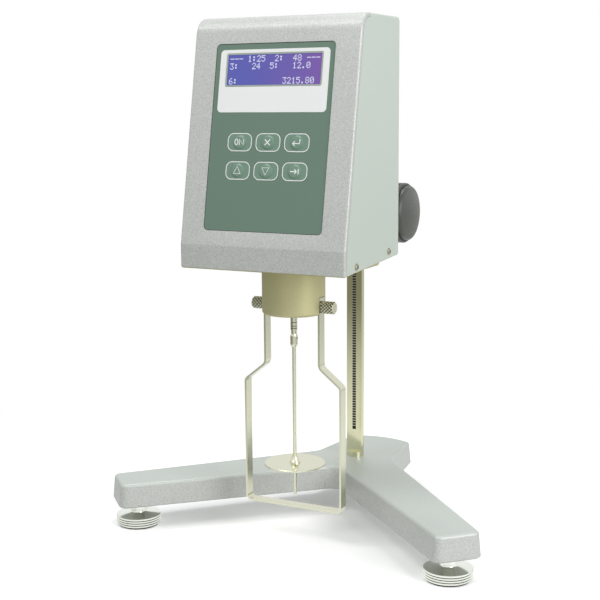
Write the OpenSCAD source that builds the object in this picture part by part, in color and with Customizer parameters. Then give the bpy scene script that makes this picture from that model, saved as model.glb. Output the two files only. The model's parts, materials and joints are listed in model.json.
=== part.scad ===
// Rotational viscometer: a measuring head with a disc spindle and a wire-strap guard,
// carried on a rack column that stands in a V-shaped cast base on three levelling feet.
// Millimetres. The instrument faces -Y, +X is its right hand, +Z is up, and the floor is z = 0.

/* [Head] */
// Width of the head across its side walls
head_w = 134; // [110:1:160]
// Height of the head from its lower edge to its top
head_h = 181; // [165:1:200]
// Height of the head's lower edge above the bench with the head at rest
head_z = 219; // [200:1:240]
// Distance from the spindle axis forward to the head's lower front band
head_front = 52.5; // [46:0.5:60]
// Distance from the spindle axis back to the head's rear wall
head_rear = 45; // [44:0.5:60]
// Height of the upright band below the sloping face
band_h = 17; // [12:1:22]
// Lean of the face away from the user, in degrees
face_tilt = 10.5; // [6:0.5:14]
// Radius of the roll between the face and the top
roll_r = 14; // [8:1:18]
// Wall of the front shell
shell_t = 3; // [2.5:0.5:4]
// Wall of the rear cover
cover_t = 2; // [1.5:0.5:3]

/* [Keypad and display] */
// Width of the keypad film
panel_w = 95.4; // [90:0.2:100]
// Length of the keypad film up the face
panel_h = 135.4; // [130:0.2:140]
// Distance up the face from its crease to the film
panel_from_crease = 11.3; // [8:0.1:14]
// Width of one key
key_w = 19.9; // [16:0.1:20.4]
// Height of one key
key_h = 13.2; // [10:0.1:14]
// Corner radius of a key
key_r = 4.8; // [2:0.1:6]
// Sideways distance from key to key
key_pitch_x = 23.1; // [22:0.1:26]
// Distance between the two rows of keys
key_pitch_y = 20.5; // [18:0.1:24]
// Travel of a pressed key
key_travel = 0.4; // [0.2:0.1:0.4]
// Width of the display window
lcd_w = 77.6; // [70:0.2:80]
// Height of the display window
lcd_h = 23.9; // [20:0.1:26]

/* [Spindle and guard] */
// Diameter of the spindle disc
disc_d = 46.93; // [20:0.01:56]
// Thickness of the spindle disc
disc_t = 1.3; // [1:0.1:2]
// Height of the disc's upper face above the bench
disc_z = 63.5; // [55:0.1:70]
// Diameter of the spindle rod
spindle_d = 2.9; // [2.8:0.1:4]
// Diameter of the guard collar under the head
collar_d = 48; // [44:1:54]
// Visible length of the guard collar
collar_h = 37.4; // [34:0.1:42]
// Distance over the guard's lower legs
guard_w = 82.6; // [70:0.2:90]
// Width of the guard's strap
strap_w = 8.5; // [7:0.1:8.6]
// Thickness of the guard's strap
strap_t = 1.5; // [1:0.1:1.6]

/* [Column and knob] */
// Distance from the spindle axis back to the column's axis
column_back = 114; // [110:1:125]
// Diameter of the column
column_d = 14.5; // [14:0.1:15]
// Height of the column's top above the bench
column_top = 385; // [372:1:420]
// Module of the rack and its pinion
gear_module = 0.7; // [0.6:0.05:0.7]
// Teeth on the pinion
pinion_teeth = 32; // [28:1:34]
// Height of the knob's axis above the bench with the head at rest
knob_z = 249.9; // [240:0.1:252]
// Diameter of the lifting knob
knob_d = 48; // [36:1:54]

/* [Base] */
// Distance from the column's axis to the end of a front leg
leg_reach = 205.7; // [180:0.1:220]
// Angle of each front leg from straight ahead, in degrees
leg_angle = 44.8; // [40:0.1:50]
// Width of a front leg at its end
leg_end_w = 35; // [30:0.5:40]
// Width of a front leg where it meets the hub
leg_root_w = 45.8; // [42:0.1:54]
// Height of the base's upper face above the bench
base_top = 38.7; // [36:0.1:42]
// Thickness of the base casting
base_t = 19.2; // [16:0.1:21]
// Distance from the column's axis back to the end of the base
tail_reach = 63.2; // [56:0.1:70]
// Diameter of a levelling foot
foot_d = 36; // [30:1:40]

/* [Hidden] */
$fn = 64;

// Clearances
run = 0.05;          // radial clearance of a shaft in its bore
cut = 1;             // how far a cutter runs past a face
big = 400;           // longer than anything that a cutter crosses

// Where things stand, from the spindle axis
draft = 1.5;                         // how much wider the base is at its foot
base_bottom = base_top - base_t;
base_rear = column_back + tail_reach;
spindle_y = (head_front - base_rear - draft) / 2;
head_top = head_z + head_h;
crease_z = head_z + band_h;
half_w = head_w / 2;
collar_z = head_z - 0.8 - collar_h;
screw_z = collar_z + 6;

// Everything is modelled about the spindle axis and then moved so that the
// origin lies under the middle of the whole instrument.
module seat() translate([0, spindle_y, 0]) children();

// ---------------------------------------------------------------- outlines

function unit(v) = v / norm(v);
function turn_of(a, b, c) = sign((b - a).x * (c - b).y - (b - a).y * (c - b).x);
function wrap(a) = a > 180 ? a - 360 : (a < -180 ? a + 360 : a);
function reverse(list) = [for (i = [len(list) - 1:-1:0]) list[i]];

// The rounded corner at b between a and c, moved d to the left of the way a-b-c.
// With no radius it is the mitred point.
function corner(a, b, c, r, d, steps) =
    let (
        to_a = unit(a - b),
        to_c = unit(c - b),
        half = acos(max(-1, min(1, to_a * to_c))) / 2,
        bisector = unit(to_a + to_c),
        side = turn_of(a, b, c)
    )
    r == 0 ? [b + bisector * side * d / sin(half)] :
    let (
        centre = b + bisector * r / sin(half),
        from = b + to_a * r / tan(half) - centre,
        to = b + to_c * r / tan(half) - centre,
        start = atan2(from.y, from.x),
        sweep = wrap(atan2(to.y, to.x) - start),
        radius = r - side * d
    )
    [for (i = [0:steps]) centre + radius * [cos(start + sweep * i / steps), sin(start + sweep * i / steps)]];

// A closed outline of [x, y, r] corners, counter-clockwise, drawn in by d.
function closed_outline(p, d = 0, steps = 6) =
    let (n = len(p))
    [for (i = [0:n - 1])
        let (a = p[(i + n - 1) % n], b = p[i], c = p[(i + 1) % n])
        for (q = corner([a.x, a.y], [b.x, b.y], [c.x, c.y], b[2], d, steps)) q];

// One side of an open path of [x, y, r] points, moved d to its left.
function open_side(p, d, steps = 6) =
    let (
        n = len(p),
        first = [p[0].x, p[0].y],
        second = [p[1].x, p[1].y],
        before = [p[n - 2].x, p[n - 2].y],
        last = [p[n - 1].x, p[n - 1].y],
        left = function(a, b) [-(unit(b - a)).y, (unit(b - a)).x]
    )
    concat(
        [first + d * left(first, second)],
        [for (i = [1:n - 2])
            for (q = corner([p[i - 1].x, p[i - 1].y], [p[i].x, p[i].y], [p[i + 1].x, p[i + 1].y],
                            p[i][2], d, steps)) q],
        [last + d * left(before, last)]
    );

// A strip of thickness t that follows an open path, on its left side.
function strip(p, t, steps = 6) = concat(open_side(p, 0, steps), reverse(open_side(p, t, steps)));

module rounded_plate(w, h, t, r) {
    linear_extrude(t)
        polygon(closed_outline([[-w / 2, -h / 2, r], [w / 2, -h / 2, r], [w / 2, h / 2, r], [-w / 2, h / 2, r]]));
}

// A profile drawn in Y and Z and run along X, from -half to +half.
module along_x(half) {
    rotate([90, 0, 90]) translate([0, 0, -half]) linear_extrude(2 * half) children();
}

// A round bar along X from x0 to x1.
module bar_x(r, x0, x1) translate([x0, 0, 0]) rotate([0, 90, 0]) cylinder(r = r, h = x1 - x0);

// ---------------------------------------------------------------- base

leg_dir = [sin(leg_angle), -cos(leg_angle)];
leg_across = [cos(leg_angle), sin(leg_angle)];
hub = [0, column_back];
leg_root = 62;                        // distance from the column at which the root width is measured
leg_corner_r = 5;
notch_r = 12;                         // fillet between the two front legs
armpit_r = 17;                        // fillet between a leg and the tail
tail_half_w = 27.7;
tail_root_half_w = 35;
tail_corner_r = 4;
tail_arc_r = 60;                      // the tail's rear edge is bowed

function leg_point(reach, across) = hub + leg_dir * reach + leg_across * across;
function with_r(p, r) = [p.x, p.y, r];
function mirrored(p) = [-p.x, p.y, p[2]];
function meet(p, u, q, v) =
    p + u * ((q - p).x * v.y - (q - p).y * v.x) / (u.x * v.y - u.y * v.x);

inner_end = leg_point(leg_reach, -leg_end_w / 2);
outer_end = leg_point(leg_reach, leg_end_w / 2);
inner_root = leg_point(leg_root, -leg_root_w / 2);
outer_root = leg_point(leg_root, leg_root_w / 2);
notch = meet(inner_end, inner_root - inner_end, [0, 0], [0, 1]);
tail_corner_y = base_rear - tail_arc_r + sqrt(tail_arc_r * tail_arc_r - tail_half_w * tail_half_w);
tail_corner = [tail_half_w, tail_corner_y];
tail_root = [tail_root_half_w, column_back];
armpit = meet(outer_end, outer_root - outer_end, tail_corner, tail_root - tail_corner);
tail_bow = [for (i = [-2:2])
    let (a = asin(tail_half_w / tail_arc_r) * i / 3)
    [-tail_arc_r * sin(a), base_rear - tail_arc_r + tail_arc_r * cos(a), 0]];

base_half = [
    with_r(inner_end, leg_corner_r), with_r(outer_end, leg_corner_r),
    with_r(armpit, armpit_r), with_r(tail_corner, tail_corner_r)
];
base_plan = concat(
    [with_r(notch, notch_r)], base_half, tail_bow, [for (p = reverse(base_half)) mirrored(p)]
);

// The casting's wall as [height, how far the outline is drawn in]: a small radius
// at the foot, a drafted side and a fuller radius round the top.
base_foot_r = 0.9;
base_edge_r = 2.4;
base_levels = concat(
    [[base_bottom, base_foot_r - draft], [base_bottom + base_foot_r, -draft]],
    [for (i = [0:4])
        let (a = 90 * i / 4)
        [base_top - base_edge_r * (1 - sin(a)), base_edge_r * (1 - cos(a))]]
);

// A solid lofted through the same closed plan at several levels. Each end is a fan
// about the centre, from which the whole outline can be seen.
module loft(plan, centre, levels, steps) {
    rings = [for (l = levels) [for (q = closed_outline(plan, l[1], steps)) [q.x, q.y, l[0]]]];
    n = len(rings[0]);
    m = len(rings);
    low = n * m;
    high = low + 1;
    points = concat(
        [for (ring = rings) for (q = ring) q],
        [[centre.x, centre.y, levels[0][0]], [centre.x, centre.y, levels[m - 1][0]]]
    );
    sides = [for (j = [0:m - 2]) for (i = [0:n - 1])
        let (k = (i + 1) % n)
        each [[j * n + i, (j + 1) * n + i, (j + 1) * n + k], [j * n + i, (j + 1) * n + k, j * n + k]]];
    ends = [for (i = [0:n - 1])
        let (k = (i + 1) % n, last = (m - 1) * n)
        each [[low, i, k], [high, last + k, last + i]]];
    polyhedron(points = points, faces = concat(sides, ends));
}

foot_inset = 16.7;                    // from the end of a leg to its foot
tail_foot = 38;                       // from the column back to the rear foot
foot_stud_r = 4;
foot_stud_top = base_bottom + 11;
front_foot = leg_point(leg_reach - foot_inset, 0);
foot_places = [[-front_foot.x, front_foot.y], [front_foot.x, front_foot.y], [0, column_back + tail_foot]];
socket_depth = 14;                    // how deep the column stands in the hub

module base_casting() seat() color([0.76, 0.78, 0.75]) difference() {
    loft(base_plan, hub, base_levels, 6);
    for (p = foot_places)
        translate([p.x, p.y, base_bottom - cut])
            cylinder(r = foot_stud_r + run, h = foot_stud_top + 1 - base_bottom + cut);
    translate([0, column_back, base_top - socket_depth]) cylinder(r = column_d / 2, h = socket_depth + cut);
    translate([0, column_back, base_bottom - cut]) cylinder(r = 3, h = base_t);
    translate([0, column_back, base_bottom - cut]) cylinder(r = 5.6, h = 2 + cut);
}

// Levelling foot: a knurled disc with three turned grooves, a hub and a stud.
pad_t = 1.5;
disc_rim_h = 7.4;
foot_hub_r = 5.7;
foot_hub_top = base_bottom - 0.4;
foot_edge = 0.6;
groove_h = 0.35;                      // half height of a turned groove
groove_depth = 0.5;
module foot(p) seat() translate([p.x, p.y, 0]) color([0.82, 0.82, 0.80]) {
    r = foot_d / 2;
    top = pad_t + disc_rim_h;
    crown = top + 1.4;
    grooves = [for (i = [1:3])
        let (z = pad_t + disc_rim_h * i / 4)
        each [[r, z - groove_h], [r - groove_depth, z], [r, z + groove_h]]];
    rotate_extrude() polygon(concat(
        [[0, pad_t], [r - foot_edge, pad_t], [r, pad_t + foot_edge]],
        grooves,
        [[r, top - foot_edge], [r - foot_edge, top], [foot_hub_r + 1, crown - 0.2], [foot_hub_r, crown + 0.6],
         [foot_hub_r, foot_hub_top - 0.5], [foot_hub_r - 0.5, foot_hub_top], [foot_stud_r, foot_hub_top],
         [foot_stud_r, foot_stud_top - 0.5], [foot_stud_r - 0.5, foot_stud_top], [0, foot_stud_top]]
    ));
}

module foot_pad(p) seat() translate([p.x, p.y, 0]) color([0.12, 0.12, 0.12])
    rotate_extrude() polygon([[0, 0], [foot_d / 2 - 2.2, 0], [foot_d / 2 - 1.6, pad_t], [0, pad_t]]);

module left_foot() foot(foot_places[0]);
module left_foot_pad() foot_pad(foot_places[0]);
module right_foot() foot(foot_places[1]);
module right_foot_pad() foot_pad(foot_places[1]);
module rear_foot() foot(foot_places[2]);
module rear_foot_pad() foot_pad(foot_places[2]);

// ---------------------------------------------------------------- column, rack and pinion

column_r = column_d / 2;
column_foot = base_top - socket_depth;
flat_y = 2.5;                         // from the column's axis forward to its flat
slot_half = 1.6;                      // half width of the rack in the column
rack_depth = 3.5;
pressure_angle = 20;
tooth_pitch = PI * gear_module;
pinion_r = gear_module * pinion_teeth / 2;
backlash = 0.08;
mesh_gap = 0.03;                      // the pinion stands this far out of full mesh
knob_y = column_back - flat_y + gear_module - pinion_r - mesh_gap;
rack_low = 62;
rack_high = 372;

// The carriage that clamps the head to the column.
carriage_half_w = 15.5;
carriage_low = 202.5;
carriage_mid = 213;
carriage_high = 290;
carriage_rear = column_back + 15;
lip_front = column_back - 17;
flange_t = 6;
flange_half_w = 27;
flange_low = 226;
bolt_places = [for (x = [-19, 19], z = [flange_low + 9, carriage_high - 9]) [x, z]];
bolt_reach = 5.5;                     // how far a bolt reaches into the head
bush_r = column_r + 1.6;
bush_h = 12;

module column() seat() translate([0, column_back, 0]) color([0.72, 0.71, 0.66]) difference() {
    translate([0, 0, column_foot]) cylinder(r = column_r, h = column_top - column_foot);
    translate([-column_r, -column_r - cut, base_top + 4])
        cube([column_d, column_r + cut - flat_y, column_top]);
    translate([-slot_half, -flat_y - cut, rack_low])
        cube([2 * slot_half, rack_depth + cut, rack_high - rack_low]);
    translate([0, 0, column_foot - cut]) cylinder(r = 2.5, h = 12 + cut);
    translate([0, 0, column_top - 8]) cylinder(r = 2, h = 8 + cut);
}

// Rack teeth on the front of the bar, one of them level with the pinion's axis.
module rack() seat() translate([0, column_back - flat_y, 0]) color([0.55, 0.53, 0.47]) {
    addendum = gear_module;
    root = 2.25 * gear_module;
    flank = tan(pressure_angle);
    half_pitch = tooth_pitch / 4 - backlash / 4;
    crest = half_pitch - addendum * flank;
    foot_half = half_pitch + (root - addendum) * flank;
    first = ceil((rack_low + 2 - knob_z) / tooth_pitch);
    last = floor((rack_high - 2 - knob_z) / tooth_pitch);
    teeth = [for (k = [first:last])
        let (z = knob_z + k * tooth_pitch)
        each [[root, z - foot_half], [0, z - crest], [0, z + crest], [root, z + foot_half]]];
    along_x(slot_half)
        polygon(concat(
            [[rack_depth, rack_low], [root, rack_low]], teeth, [[root, rack_high], [rack_depth, rack_high]]
        ));
}

module column_cap() seat() translate([0, column_back, column_top]) color([0.15, 0.15, 0.15]) {
    rotate_extrude() polygon([[0, 0], [column_r + 1.2, 0], [column_r + 1.2, 2.6], [column_r, 3.6], [0, 3.6]]);
    translate([0, 0, -7]) cylinder(r = 2, h = 7.5);
}

module column_screw() seat() translate([0, column_back, 0]) color([0.3, 0.3, 0.3]) difference() {
    union() {
        translate([0, 0, base_bottom + 0.2]) cylinder(r = 5, h = 1.8);
        translate([0, 0, base_bottom + 1.9]) cylinder(r = 2.5, h = 12);
    }
    translate([0, 0, base_bottom]) cylinder(r = 2.3, h = 1.6, $fn = 6);
}

// Involute gear outline. A gap, not a tooth, points along +X.
function involute(rb, a) = rb * [cos(a) + a * PI / 180 * sin(a), sin(a) - a * PI / 180 * cos(a)];
function turned(p, a) = [p.x * cos(a) - p.y * sin(a), p.x * sin(a) + p.y * cos(a)];
function gear_outline(teeth) =
    let (
        r = gear_module * teeth / 2,
        rb = r * cos(pressure_angle),
        tip = r + gear_module - 0.05,
        root = r - 1.2 * gear_module,
        roll_at_tip = sqrt(tip * tip / (rb * rb) - 1) * 180 / PI,
        lead = tan(pressure_angle) * 180 / PI - pressure_angle,
        half_tooth = 90 / teeth - backlash / (4 * r) * 180 / PI,
        flank = [for (i = [0:4]) turned(involute(rb, roll_at_tip * i / 4), -half_tooth - lead)],
        tooth = concat([turned([root, 0], -half_tooth - lead)], flank,
                       [for (q = reverse(flank)) [q.x, -q.y]], [turned([root, 0], half_tooth + lead)])
    )
    [for (k = [0:teeth - 1]) for (q = tooth) turned(q, (k + 0.5) * 360 / teeth)];

pinion_half_w = 1.4;
pinion_bore = 3;
module at_knob() seat() translate([0, knob_y, knob_z]) children();

module pinion() at_knob() color([0.75, 0.62, 0.30]) difference() {
    along_x(pinion_half_w) polygon(gear_outline(pinion_teeth));
    bar_x(pinion_bore, -5, 5);
}

knob_x = 38;                          // back of the knob
knob_body_t = 13;
boss_h = 2;                           // boss round the shaft's left end
shaft_left = -carriage_half_w - boss_h - 0.3 - 1.6;
module pinion_shaft() at_knob() color([0.7, 0.7, 0.7]) {
    bar_x(pinion_bore, shaft_left, knob_x + 9);
    bar_x(4.6, shaft_left, shaft_left + 1.6);
}

// ---------------------------------------------------------------- lifting knob

flutes = 24;
module knob_body() at_knob() color([0.22, 0.23, 0.20]) difference() {
    rotate([0, 90, 0]) rotate_extrude() {
        r = knob_d / 2;
        polygon([
            [0, knob_x - 4], [7, knob_x - 4], [7, knob_x + 2], [r - 3.5, knob_x + 2], [r - 3.5, knob_x],
            [r - 0.8, knob_x], [r, knob_x + 0.8], [r, knob_x + knob_body_t - 1.6],
            [r - 1.2, knob_x + knob_body_t - 0.4], [r - 1.6, knob_x + knob_body_t - 0.4],
            [r - 1.6, knob_x + knob_body_t - 1.2], [0, knob_x + knob_body_t - 1.2]
        ]);
    }
    bar_x(pinion_bore, knob_x - 5, knob_x + 9);
    for (k = [0:flutes - 1])
        rotate([k * 360 / flutes, 0, 0]) translate([0, 0, knob_d / 2 + 1.1]) bar_x(1.7, knob_x - cut, knob_x + 9.4);
}

// The cap is a shallow dome set in the body.
module knob_cap() at_knob() color([0.36, 0.37, 0.33]) rotate([0, 90, 0]) rotate_extrude() {
    r = knob_d / 2 - 1.9;
    x0 = knob_x + knob_body_t - 1.2;
    edge = 3.4;
    crown = 2;
    polygon(concat(
        [[0, x0], [r, x0]],
        [for (i = [0:6]) let (a = 90 * i / 6) [r - edge + edge * cos(a), x0 + 1.6 + edge * sin(a)]],
        [for (i = [1:4]) let (u = 1 - i / 4) [(r - edge) * u, x0 + 1.6 + edge + crown * (1 - u * u)]]
    ));
}

// ---------------------------------------------------------------- carriage

module carriage() seat() color([0.72, 0.70, 0.60]) difference() {
    union() {
        along_x(carriage_half_w) polygon(closed_outline([
            [head_rear, flange_low, 0], [lip_front - 14, flange_low, 6], [lip_front - 2, carriage_mid, 3],
            [lip_front, carriage_low, 2], [carriage_rear, carriage_low, 4],
            [carriage_rear, carriage_high, 5], [head_rear, carriage_high, 0]
        ], 0, 4));
        translate([0, head_rear + flange_t, (flange_low + carriage_high) / 2]) rotate([90, 0, 0])
            rounded_plate(2 * flange_half_w, carriage_high - flange_low, flange_t, 6);
        translate([0, knob_y, knob_z]) bar_x(9.5, carriage_half_w - cut, carriage_half_w + 9);
        translate([0, knob_y, knob_z]) bar_x(8, -carriage_half_w - boss_h, -carriage_half_w + cut);
    }
    // column bore, wider where the bushes sit
    translate([0, column_back, carriage_low - cut])
        cylinder(r = column_r + 0.4, h = carriage_high - carriage_low + 2 * cut);
    for (z = [carriage_mid, carriage_high - bush_h])
        translate([0, column_back, z]) cylinder(r = bush_r, h = bush_h + (z > carriage_mid ? cut : 0));
    // pinion chamber and shaft bore
    translate([-pinion_half_w - 1, knob_y - pinion_r - 1.6, knob_z - pinion_r - 1.6])
        cube([2 * pinion_half_w + 2, column_back - knob_y + pinion_r + 1.6, 2 * pinion_r + 3.2]);
    translate([0, knob_y, knob_z]) bar_x(pinion_bore + run, -big, big);
    // bolt holes in the flange, tension screw hole in the rear face
    for (b = bolt_places)
        translate([b.x, head_rear + flange_t + cut, b.y]) rotate([90, 0, 0]) cylinder(r = 2.2, h = flange_t + 2 * cut);
    translate([0, carriage_rear + cut, knob_z]) rotate([90, 0, 0]) cylinder(r = 3, h = 8.5);
}

module guide_bushes() seat() translate([0, column_back, 0]) color([0.78, 0.62, 0.32])
    for (z = [carriage_mid, carriage_high - bush_h]) difference() {
        translate([0, 0, z]) cylinder(r = bush_r, h = bush_h);
        translate([0, 0, z - cut]) cylinder(r = column_r + run, h = bush_h + 2 * cut);
    }

// Sets how stiffly the carriage slides: a socket screw that bears on a pad.
module tension_screw() seat() translate([0, carriage_rear + 1.5, knob_z]) rotate([90, 0, 0])
    color([0.25, 0.25, 0.25]) difference() {
        cylinder(r = 3, h = 8.5);
        translate([0, 0, -cut]) cylinder(r = 1.6, h = 3 + cut, $fn = 6);
    }

module carriage_bolts() seat() color([0.3, 0.3, 0.3])
    for (b = bolt_places) translate([b.x, head_rear + flange_t, b.y]) rotate([-90, 0, 0]) difference() {
        union() {
            cylinder(r = 3.5, h = 4);
            translate([0, 0, -flange_t - bolt_reach]) cylinder(r = 2, h = flange_t + bolt_reach + cut);
        }
        translate([0, 0, 1.8]) cylinder(r = 1.7, h = 4, $fn = 6);
    }

// ---------------------------------------------------------------- head casing

// Side view of the face: up the band, over the crease, up the slope and round the roll.
roll_top_y = -head_front + (head_h - band_h) * tan(face_tilt);
roll_end_y = roll_top_y + roll_r * tan((90 - face_tilt) / 2);
face_path = [
    [-head_front, head_z, 0], [-head_front, crease_z, 8], [roll_top_y, head_top, roll_r], [roll_end_y + 0.5, head_top, 0]
];
edge_r = 1.8;                         // radius along the long edges of the casing
bottom_rise = 5.5;                    // how much higher the casing's lower edge is at the rear
function under(y) = head_z + bottom_rise * (y + head_front) / (head_front + head_rear);
// The whole head as one block with rounded long edges, for the casing parts to share.
module head_block() {
    hull() {
        for (i = [0:3]) {
            a = 90 * i / 3;
            along_x(half_w - edge_r + edge_r * sin(a)) head_side(edge_r * (1 - cos(a)));
        }
    }
}
module head_side(d) polygon(concat(
    [for (q = open_side(face_path, -d, 5)) [q.x, max(q.y, under(q.x))]],
    [[head_rear - d - 2, head_top - d], [head_rear - d, head_top - d - 2], [head_rear - d, under(head_rear - d)]]
));

// Places a child on the face: x across, y up the slope from the crease, z out of it.
module on_face() seat() translate([0, -head_front, crease_z]) rotate([90 - face_tilt, 0, 0]) children();
panel_mid = panel_from_crease + panel_h / 2;
lcd_mid = 127.8;
label_mid = 119.8;
label_h = 45.4;
label_w = 88;
key_rows = [75.5, 75.5 - key_pitch_y];
key_gap = 0.15;
recess = 1;                           // depth of the recess that holds the film
film_t = 0.5;
film_top = film_t - recess;

function key_place(i, j) = [(i - 1) * key_pitch_x, key_rows[j]];

module front_shell() color([0.78, 0.78, 0.76]) difference() {
    seat() intersection() {
        head_block();
        along_x(half_w) polygon(strip(face_path, -shell_t, 8));
    }
    on_face() {
        translate([0, panel_mid, -recess]) rounded_plate(panel_w + 0.6, panel_h + 0.6, 4, 3.3);
        translate([0, lcd_mid, -shell_t - cut]) rounded_plate(lcd_w + 0.6, lcd_h + 0.6, 6, 1.5);
        for (i = [0:2], j = [0:1])
            translate([key_place(i, j).x, key_place(i, j).y, -shell_t - cut])
                rounded_plate(key_w + 0.5, key_h + 0.5, 6, key_r + 0.25);
    }
}

cover_gap = 0.2;
inlet_place = [-45, 246];
switch_place = [46, 246];
screw_spots = [for (s = [-1, 1], p = [[-33.7, 223.7], [25, 228.1]]) [s, p.x, p.y]];
module rear_cover() seat() color([0.77, 0.80, 0.76]) difference() {
    head_block();
    // in front of the seam with the front shell
    along_x(half_w + cut) polygon(concat(
        open_side(face_path, -shell_t - cover_gap, 8),
        [[roll_end_y + 0.5 + cover_gap, head_top - shell_t - cover_gap], [roll_end_y + 0.5 + cover_gap, head_top + 2],
         [-head_front - 20, head_top + 2], [-head_front - 20, head_z - 2], [-head_front + shell_t + cover_gap, head_z - 2]]
    ));
    // the hollow inside
    along_x(half_w - cover_t) polygon([
        [-big, head_z - cut], [head_rear - cover_t, head_z - cut],
        [head_rear - cover_t, head_top - cover_t], [-big, head_top - cover_t]
    ]);
    for (s = screw_spots)
        translate([0, s.y, s.z]) bar_x(1.5, s.x > 0 ? half_w - 6 : -half_w - cut, s.x > 0 ? half_w + cut : -half_w + 6);
    // rear openings: bolts, power inlet and switch
    for (b = bolt_places)
        translate([b.x, head_rear + cut, b.y]) rotate([90, 0, 0]) cylinder(r = 2, h = cover_t + 2 * cut);
    translate([inlet_place.x - 14, head_rear - 5, inlet_place.y - 12]) cube([28, 10, 24]);
    translate([switch_place.x - 9.5, head_rear - 5, switch_place.y - 7]) cube([19, 10, 14]);
    translate([0, 24, head_top - 4]) cylinder(r = 6.5, h = 10);
}

// The bottom plate follows the slope of the casing's lower edge. The collar passes through it.
plate_drop = 0.8;                     // how far the bottom plate shows below the casing
plate_gap = 0.02;
module bottom_plate() seat() color([0.72, 0.68, 0.56]) difference() {
    translate([0, -head_front, head_z]) rotate([atan2(bottom_rise, head_front + head_rear), 0, 0]) {
        translate([-half_w + 1, 0.9, -plate_drop])
            cube([head_w - 2, head_front + head_rear - 1.8, plate_drop - plate_gap]);
        translate([-half_w + 2.2, 3.4, -0.1]) cube([head_w - 4.4, head_front + head_rear - 5.6, 1.3]);
        for (s = [-1, 1])
            translate([s * (half_w - 3) - 0.8, 8.5, 0]) cube([1.6, 84, 9]);
    }
    translate([0, 0, head_z - 5]) cylinder(r = collar_d / 2 + run, h = 20);
    for (s = screw_spots)
        translate([0, s.y, s.z]) bar_x(1.4, s.x > 0 ? half_w - 6 : -half_w + 1, s.x > 0 ? half_w - 1 : -half_w + 6);
}

module cover_screws() seat() color([0.6, 0.6, 0.56])
    for (s = screw_spots) translate([s.x * half_w, s.y, s.z]) rotate([0, s.x * 90, 0]) difference() {
        union() {
            rotate_extrude() polygon([[0, 0], [2.6, 0], [2.5, 0.6], [1.6, 1.2], [0, 1.2]]);
            translate([0, 0, -5]) cylinder(r = 1.4, h = 5.1);
        }
        for (a = [0, 90]) rotate([0, 0, a]) translate([-1.3, -0.25, 0.6]) cube([2.6, 0.5, 1]);
    }

// ---------------------------------------------------------------- keypad and display

module keypad_film() on_face() color([0.44, 0.56, 0.49]) difference() {
    translate([0, panel_mid, -recess]) rounded_plate(panel_w, panel_h, film_t, 3);
    translate([0, lcd_mid, -recess - cut]) rounded_plate(lcd_w + 0.4, lcd_h + 0.4, 4, 1.4);
    for (i = [0:2], j = [0:1])
        translate([key_place(i, j).x, key_place(i, j).y, -recess - cut])
            rounded_plate(key_w + 2 * key_gap, key_h + 2 * key_gap, 4, key_r + key_gap);
}

label_t = 0.2;
module display_label() on_face() color([0.95, 0.95, 0.95]) difference() {
    translate([0, label_mid, film_top]) rounded_plate(label_w, label_h, label_t, 3);
    translate([0, lcd_mid, film_top - cut]) rounded_plate(lcd_w + 0.4, lcd_h + 0.4, 4, 1.4);
}

bezel_w = 0.9;
module display_bezel() on_face() color([0.66, 0.71, 0.66]) difference() {
    translate([0, lcd_mid, -2.2]) rounded_plate(lcd_w, lcd_h, 2.2 + film_top + label_t, 1.2);
    translate([0, lcd_mid, -2.2 - cut]) rounded_plate(lcd_w - 2 * bezel_w, lcd_h - 2 * bezel_w, 5, 0.6);
}

module display_module() on_face() color([0.36, 0.38, 0.72]) {
    translate([0, lcd_mid, -3.2]) rounded_plate(lcd_w - 2 * bezel_w, lcd_h - 2 * bezel_w, 2.3, 0.6);
    translate([0, lcd_mid, -shell_t - 3.4]) rounded_plate(84, 32, 3.4, 1);
}

module circuit_board() on_face() color([0.10, 0.35, 0.18]) {
    translate([0, 66, -5.6]) rounded_plate(90, 72, 1.6, 2);
    for (x = [-40, 40], y = [34, 98])
        translate([x, y, -4.1]) cylinder(r = 2, h = 4.1 - shell_t);
    translate([-30, 40, -13]) cube([16, 10, 7.5]);
    translate([8, 38, -9.6]) cube([22, 14, 4.1]);
}

// One key: a cap level with the film, its dome and the pusher that reaches the switch.
dome_r = 5.3;
module key(i, j) on_face() translate([key_place(i, j).x, key_place(i, j).y, 0]) color([0.44, 0.56, 0.49]) {
    translate([0, 0, film_top - 0.25]) rounded_plate(key_w, key_h, 0.4, key_r);
    translate([0, 0, film_top + 0.1])
        rotate_extrude() polygon([[0, 0], [dome_r, 0], [dome_r - 0.5, 0.25], [dome_r - 2, 0.4], [0, 0.45]]);
    translate([0, 0, -3.5]) cylinder(r = 3, h = 2.9);
}
module key_on() key(0, 0);
module key_back() key(1, 0);
module key_enter() key(2, 0);
module key_up() key(0, 1);
module key_down() key(1, 1);
module key_tab() key(2, 1);

// ---------------------------------------------------------------- collar, guard and their screws

slot_x = collar_d / 2 - strap_t - 0.3;   // flat that the strap lies on
slot_top = screw_z + 7.9;
chassis_z = head_z + bottom_rise + 1.2;
module collar() seat() color([0.74, 0.70, 0.58]) difference() {
    r = collar_d / 2;
    edge = 2.2;
    rotate_extrude() polygon(concat(
        [[5, collar_z]],
        [for (i = [0:4]) let (a = 90 * i / 4) [r - edge + edge * sin(a), collar_z + edge - edge * cos(a)]],
        [[r, chassis_z], [5, chassis_z]]
    ));
    translate([0, 0, collar_z - cut]) cylinder(r = 15, h = 12 + cut);
    for (s = [-1, 1])
        translate([s > 0 ? slot_x : -slot_x - 10, -strap_w / 2 - 0.2, collar_z - cut])
            cube([10, strap_w + 0.4, slot_top - collar_z + cut]);
    translate([0, 0, screw_z]) bar_x(2 + run, -big, big);
}

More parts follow.
